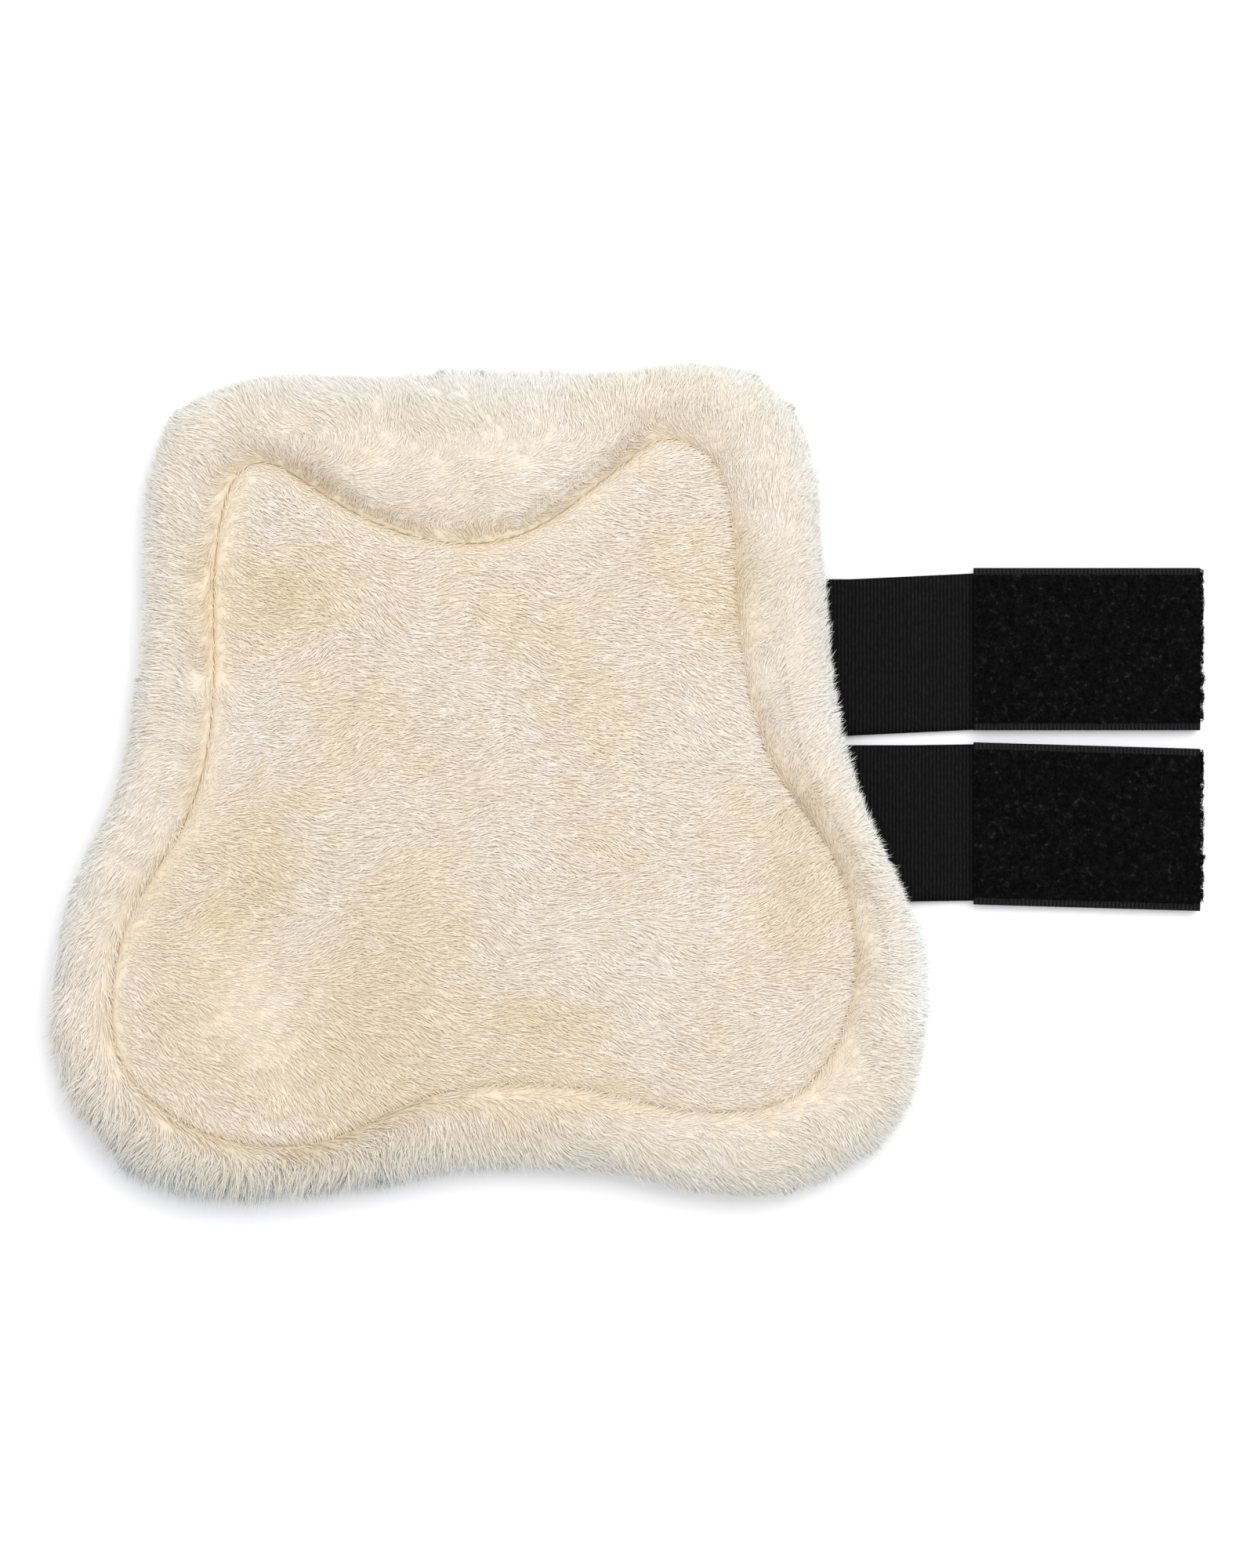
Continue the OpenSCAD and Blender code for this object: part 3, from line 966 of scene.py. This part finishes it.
def make_hook_patch(row, material):
    inner, outer = (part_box(f"{row}_hook_patch_{side}") for side in ("inner", "outer"))
    x0, x1 = outer[0].x, inner[1].x
    y0, y1 = inner[0].y, inner[1].y
    z1 = inner[1].z
    z0 = 0.8 * MM
    rows = [(0, 0.3), (0.3, 0.05), (1.8, 0), (2.1, -0.12), (5, -0.12)]
    bm = plate((x0, y0), (x1, y1), 2.5 * MM, [(d * MM, z0 + z * MM) for d, z in rows], z1)
    tufts = hooks(x0 + 1.5 * MM, x1 - 1.5 * MM, y0 + 1.5 * MM, y1 - 1.5 * MM, z0, 0.12 * MM)

    def finish(mesh, low, high):
        points, faces, _, _ = part_of(tufts, low, high)
        joined = bmesh.new()
        joined.from_mesh(mesh)
        joined.from_mesh(closed_mesh(points, faces, "hooks"))
        joined.to_mesh(mesh)
        joined.free()
        return mesh

    pieces = strip_pieces(bm, f"{row}_hook_tape", "hook", material, finish=finish)
    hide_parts(f"{row}_hook_patch_outer")
    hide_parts(f"{row}_hook_patch_inner")


# ---- straps
BEND_HALF = 6 * MM
RIB = 0.45 * MM              # pitch of the ribs that are modelled in the webbing


def stations(nodes):
    """Places along a strap: x, lower edge and upper edge, from the CAD pieces' corners."""
    found = {}
    for name in nodes:
        for v in frame["nodes"][name].data.vertices:
            found.setdefault(round(v.co.x, 4), []).append(v.co.y)
    return np.array([(x, min(ys), max(ys)) for x, ys in sorted(found.items())])


def ribbon(edges, z0, z1, nx, ny, top, bottom=None, side_round=0.25 * MM):
    """Closed strap on a grid. top(x, y, share) is the extra height at each point."""
    xs = np.linspace(edges[0, 0], edges[-1, 0], nx)
    low = np.interp(xs, edges[:, 0], edges[:, 1])
    high = np.interp(xs, edges[:, 0], edges[:, 2])
    shares = 0.5 - 0.5 * np.cos(np.linspace(0, math.pi, ny))
    shares = 0.5 * shares + 0.5 * np.linspace(0, 1, ny)
    x = np.repeat(xs[:, None], ny, 1)
    y = low[:, None] + (high - low)[:, None] * shares[None]
    share = np.repeat(shares[None], nx, 0)
    rounding = np.minimum(share, 1 - share) * (high - low)[:, None]
    drop = side_round * np.clip(1 - rounding / (0.6 * MM), 0, 1) ** 2
    upper = z1 + top(x, y, share) - drop
    lower = z0 + drop + (bottom(x, y, share) if bottom else 0)
    above, below = (np.stack([x, y, z], -1) for z in (upper, lower))
    return loft(np.concatenate([above, below[:, ::-1]], 1), ends="ladder")


def make_elastic(row, material):
    """One webbing, in three pieces: sewn end under the boot, stretch part and taped end."""
    nodes = [f"{row}_elastic_anchor", f"{row}_elastic", f"{row}_elastic_end"]
    edges = stations(nodes)
    z0, z1 = heights_of(nodes[1])
    length = edges[-1, 0] - edges[0, 0]

    def ribs(x, *_):
        ridge = np.round((x - edges[0, 0]) / (RIB / 2)) % 2
        return -0.11 * MM * ridge

    bm = ribbon(edges, z0, z1, int(length / RIB) * 2 + 1, 16, ribs,
                lambda x, *_: -ribs(x))
    first = hinge_x(f"{row}_strap_bend")
    second = hinge_x(f"{row}_tape_bend")
    cuts = [-FAR, first - 1.4 * BEND_HALF, (first + second) / 2, FAR]
    bends = [("right_edge_wrap", RIGHT_HALF), (f"{row}_strap_bend", BEND_HALF),
             (f"{row}_tape_bend", BEND_HALF)]
    names = ["sewn_end", "stretch", "taped_end"]
    for k in range(3):
        name = f"{row}_elastic_{names[k]}"
        mesh = mesh_from(cut_mesh(bm, cuts[k], cuts[k + 1]), name)
        piece = add_piece(name, mesh, material, "elastic", *bends[k])
        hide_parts(nodes[k])
    bm.free()


SELVEDGE = 1.8 * MM          # width of the tape's woven edges
LOOP_STEPS = 7               # sections of one curled thread
TAPE_DENSITY = 6.0e6         # loose loops to the square metre


def frayed_loops(edges, low_z, high_z):
    """Curled threads that stand out past the tape's cut end, in bunches. Each is a closed tube."""
    width = edges[-1, 2] - edges[-1, 1]
    share = rng.uniform(0.065, 0.985, 520)
    bunch = wrinkle(flat3(np.column_stack([share * width, 0 * share])), 2.3 * MM, 4)
    kept = bunch + 0.12 * rng.standard_normal(len(share)) > -0.28
    share, bunch = share[kept], bunch[kept]
    n = len(share)
    reach = (0.8 + 0.8 * np.clip(bunch, -0.4, 0.8)) * rng.uniform(0.6, 1.15, n) * MM
    wide = rng.uniform(0.25, 0.6, n) * MM
    lean = rng.normal(0, 0.35, n) * MM
    start = np.column_stack([np.full(n, edges[-1, 0] - 0.25 * MM), edges[-1, 1] + share * width,
                             rng.uniform(low_z, high_z, n)])
    rise = rng.normal(0, 0.3, n) * MM
    line = []
    for t in np.linspace(0, 1, LOOP_STEPS):
        turn = math.pi * (1.35 * t - 0.175)
        place = start.copy()
        place[:, 0] += 0.25 * MM + reach * math.sin(turn)
        place[:, 1] += -wide * math.cos(turn) * 0.8 + lean * math.sin(turn)
        place[:, 2] += rise * t
        line.append(place)
    thick = rng.uniform(0.08, 0.13, n)[:, None] * MM
    rows = []
    for k, place in enumerate(line):
        run = line[min(k + 1, LOOP_STEPS - 1)] - line[max(k - 1, 0)]
        side = unit(np.column_stack([-run[:, 1], run[:, 0], np.zeros(n)]))
        for across, up in ((-0.5, -0.3), (0.5, -0.3), (0, 0.6)):
            rows.append(place + thick * (side * across + np.array([0, 0, up])))
    last = 3 * (LOOP_STEPS - 1)
    pattern = np.array(tube_faces(LOOP_STEPS) + [(last, last + 1, last + 2)])
    return np.stack(rows, 1), repeated(pattern, n, 3 * LOOP_STEPS)


def make_tape(row, pile_finish, edge_finish):
    """Loop tape: woven edges, a napped middle of short curled fibres and a frayed cut end."""
    node = f"{row}_loop_tape"
    edges = stations([node])
    z0 = heights_of(node)[0]
    weave = z0 + 1.15 * MM          # top of the woven ground
    nap = z0 + 1.7 * MM             # top of the felted loops, below the loose ones
    width = edges[0, 2] - edges[0, 1]
    reach = edges[-1, 0] - edges[0, 0]

    def relief(x, y, share):
        near = np.minimum(share, 1 - share) * width
        body = smoothstep(SELVEDGE * 0.8, SELVEDGE * 1.3, near)
        points = np.stack([x, y, np.zeros_like(x)], -1).reshape(-1, 3)
        fuzz = wrinkle(points, 2.2 * MM, 5).reshape(x.shape)
        felt = (nap - weave + 0.30 * MM * fuzz) * body
        rib = 0.10 * MM * np.cos(TAU * x / (0.95 * MM)) * (1 - body)
        ends = smoothstep(0, 1.5 * MM, x - edges[0, 0])
        return felt * (0.35 + 0.65 * ends) + rib

    bm = ribbon(edges, z0 + 0.02 * MM, weave, int(reach / (0.95 * MM) * 5), 70, relief)
    mesh = mesh_from(bm, node)
    n = int(TAPE_DENSITY * width * reach)
    share = rng.uniform(SELVEDGE / width, 1 - SELVEDGE / width, n)
    x = rng.uniform(edges[0, 0] + 0.3 * MM, edges[-1, 0] - 0.2 * MM, n)
    low = np.interp(x, edges[:, 0], edges[:, 1])
    roots = np.column_stack([x, low + share * width, np.full(n, nap - 0.1 * MM)])
    angle = rng.uniform(0, TAU, n)
    comb = np.column_stack([np.cos(angle), np.sin(angle), np.zeros(n)])
    up = np.tile([0.0, 0.0, 1.0], (n, 1))
    loose = fibres(roots, up, comb, rng.uniform(0.4, 1.1, n) * MM, rng.uniform(0.12, 0.24, n) * MM,
                   rng.uniform(0.2, 0.75, n) * MM, np.zeros(n), np.zeros(n), clump=0.15)
    fray = frayed_loops(edges, z0 + 0.5 * MM, nap)
    both = bmesh.new()
    for points, faces in (loose[:2], fray):
        both.from_mesh(closed_mesh(points, faces, "threads"))
    name = f"{row}_tape_loops"
    bend = (f"{row}_tape_bend", BEND_HALF)
    loops = add_piece(name, mesh_from(both, name), pile_finish, "loop_tape", *bend)
    piece = add_piece(f"{row}_tape", mesh, pile_finish, "loop_tape", *bend)
    mesh.materials.append(edge_finish)
    for face in mesh.polygons:
        c = face.center
        lo = np.interp(c.x, edges[:, 0], edges[:, 1])
        near = min(c.y - lo, lo + width - c.y)
        if near < SELVEDGE and c.z < nap and c.x < edges[-1, 0]:
            face.material_index = 1
    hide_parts(node)


# ---- stitching
def stitch_run(path, z, length, gap, thick, closed=True):
    """First and last points of the stitches along a path of (x, y) points, and their thickness."""
    if closed:
        path = np.vstack([path, path[:1]])
    step = np.linalg.norm(np.diff(path, axis=0), axis=1)
    along = np.concatenate([[0], np.cumsum(step)])
    count = max(1, int(along[-1] / (length + gap)))
    pitch = along[-1] / count
    starts = (np.arange(count) + 0.5) * pitch - length / 2
    a, b = (np.stack([np.interp(starts + d, along, path[:, k]) for k in (0, 1)], 1)
            for d in (0, length))
    return flat3(a, z), flat3(b, z), thick


# Sections of one stitch: share of its length, share of its thickness, how far it sinks in
STITCH_SECTIONS = [(0.0, 0.35, -0.5), (0.18, 0.9, -0.1), (0.5, 1.0, 0.0), (0.82, 0.9, -0.1),
                   (1.0, 0.35, -0.5)]
STITCH_SIDES = 6


def stitch_mesh(runs, way):
    """Each stitch is a short thread that bulges in its middle and dives in at both ends.
    way is 1 for stitches on an upper face and -1 for those on a lower face."""
    bm = bmesh.new()
    up = np.array([0, 0, 1.0])
    turns = TAU * np.arange(STITCH_SIDES)[:, None] / STITCH_SIDES
    for a_points, b_points, thick in runs:
        for a, b in zip(a_points, b_points):
            run = b - a
            ring = unit(np.array([-run[1], run[0], 0])) * np.cos(turns) + up * np.sin(turns)
            rows = []
            for share, wide, sink in STITCH_SECTIONS:
                middle = a + run * share + up * way * sink * thick
                rows.append([bm.verts.new(middle + place * wide * thick / 2) for place in ring])
            for row, following in zip(rows, rows[1:]):
                for k in range(STITCH_SIDES):
                    m = (k + 1) % STITCH_SIDES
                    bm.faces.new((row[k], row[m], following[m], following[k]))
            bm.faces.new(rows[0][::-1])
            bm.faces.new(rows[-1])
    bmesh.ops.recalc_face_normals(bm, faces=bm.faces[:])
    return bm


def stitch_pieces(runs, name, slot, material, way):
    """Stitches by strip: a stitch goes whole to the strip that its middle is in."""
    for strip, low, high, joint, half, _ in STRIPS:
        kept = []
        for a, b, thick in runs:
            x = (a[:, 0] + b[:, 0]) / 2
            inside = (x >= low) & (x < high)
            if inside.any():
                kept.append((a[inside], b[inside], thick))
        if not kept:
            continue
        mesh = mesh_from(stitch_mesh(kept, way), f"{name}_{strip}")
        add_piece(mesh.name, mesh, material, slot, joint, half)


def make_stitching(dark, cream):
    z = SHELL_Z[0] - 0.05 * MM
    edge = [stitch_run(moved_in(shell_line, 2.6 * MM), z, 2.6 * MM, 0.9 * MM, 0.55 * MM)]
    stitch_pieces(edge, "shell_edge_stitches", "thread", dark, -1)
    runs = []
    low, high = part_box("strike_pad")
    pad = rounded_box(low, high, (high.x - low.x) / 2, 2.4 * MM)
    runs.append(stitch_run(pad, 0.2 * MM, 2.4 * MM, 0.8 * MM, 0.35 * MM))

    def sew(path, z, closed=True):
        runs.append(stitch_run(path, z * MM, 2.2 * MM, 0.8 * MM, 0.45 * MM, closed))

    for row in ("upper", "lower"):
        inner, outer = (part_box(f"{row}_hook_patch_{side}") for side in ("inner", "outer"))
        low, high = outer[0], inner[1]
        sew(rounded_box(low, high, 2.5 * MM, 1.2 * MM), 0.75)
        low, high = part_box(f"{row}_elastic_anchor")
        high = high.copy()
        high.x = low.x + 11 * MM
        sew(rounded_box(low, high, 2.5 * MM, 1.6 * MM), 0.25)
        for y0, y1 in ((low.y, high.y), (high.y, low.y)):
            inset = 1.8 * MM if y0 < y1 else -1.8 * MM
            line = np.array([(low.x + 1.8 * MM, y0 + inset), (high.x - 1.8 * MM, y1 - inset)])
            sew(line, 0.25, closed=False)
    stitch_pieces(runs, "outer_stitches", "thread", dark, -1)
    seam = [stitch_run(moved_in(seam_line, -0.4 * MM), GROOVE_Z + 0.15 * MM, 3.0 * MM, 0.6 * MM,
                       0.45 * MM)]
    stitch_pieces(seam, "lining_seam_stitches", "lining_thread", cream, 1)


def make_tape_stitches(row, material):
    """Rows that sew the tape to the elastic, just inside its woven edges and across its start."""
    edges = stations([f"{row}_loop_tape"])
    z = heights_of(f"{row}_loop_tape")[0] + 1.25 * MM
    x0, x1 = edges[0, 0] + 1.2 * MM, edges[-1, 0] - 1.5 * MM
    runs = []
    for side in (1, 2):
        way = 1 if side == 1 else -1
        line = np.array([(x, np.interp(x, edges[:, 0], edges[:, side]) + way * 1.5 * MM)
                         for x in np.linspace(x0, x1, 12)])
        runs.append(stitch_run(line, z, 2.0 * MM, 0.8 * MM, 0.32 * MM, closed=False))
    name = f"{row}_tape_stitches"
    mesh = mesh_from(stitch_mesh(runs, 1), name)
    add_piece(name, mesh, material, "thread", f"{row}_tape_bend", BEND_HALF)


# ---- everything
make_camera()
make_light()
make_floor()
fleece = pile_material("fleece_pile", 0.85)
fleece_edge = pile_material("fleece_edge_pile", 0.85)
make_lining(fleece)
make_rolled_edge(fleece_edge)
make_shell(leather_material("shell_leather", 0.007, 0.014, 0.45))
make_foam(foam_material())
make_strike_pad(leather_material("strike_pad_rubber", 0.006, 0.012, 0.5))
hook_finish = leather_material("hook_nylon", 0.005, 0.012, 0.4)
webbing = elastic_material()
tape_pile = tape_material()
woven = selvedge_material()
black_thread = thread_material("black_thread", grey(0.004), grey(0.014))
cream_thread = thread_material("cream_thread", srgb(218, 195, 158), srgb(234, 216, 184))
for strap_row in ("upper", "lower"):
    make_hook_patch(strap_row, hook_finish)
    make_elastic(strap_row, webbing)
    make_tape(strap_row, tape_pile, woven)
    make_tape_stitches(strap_row, black_thread)
make_stitching(black_thread, cream_thread)
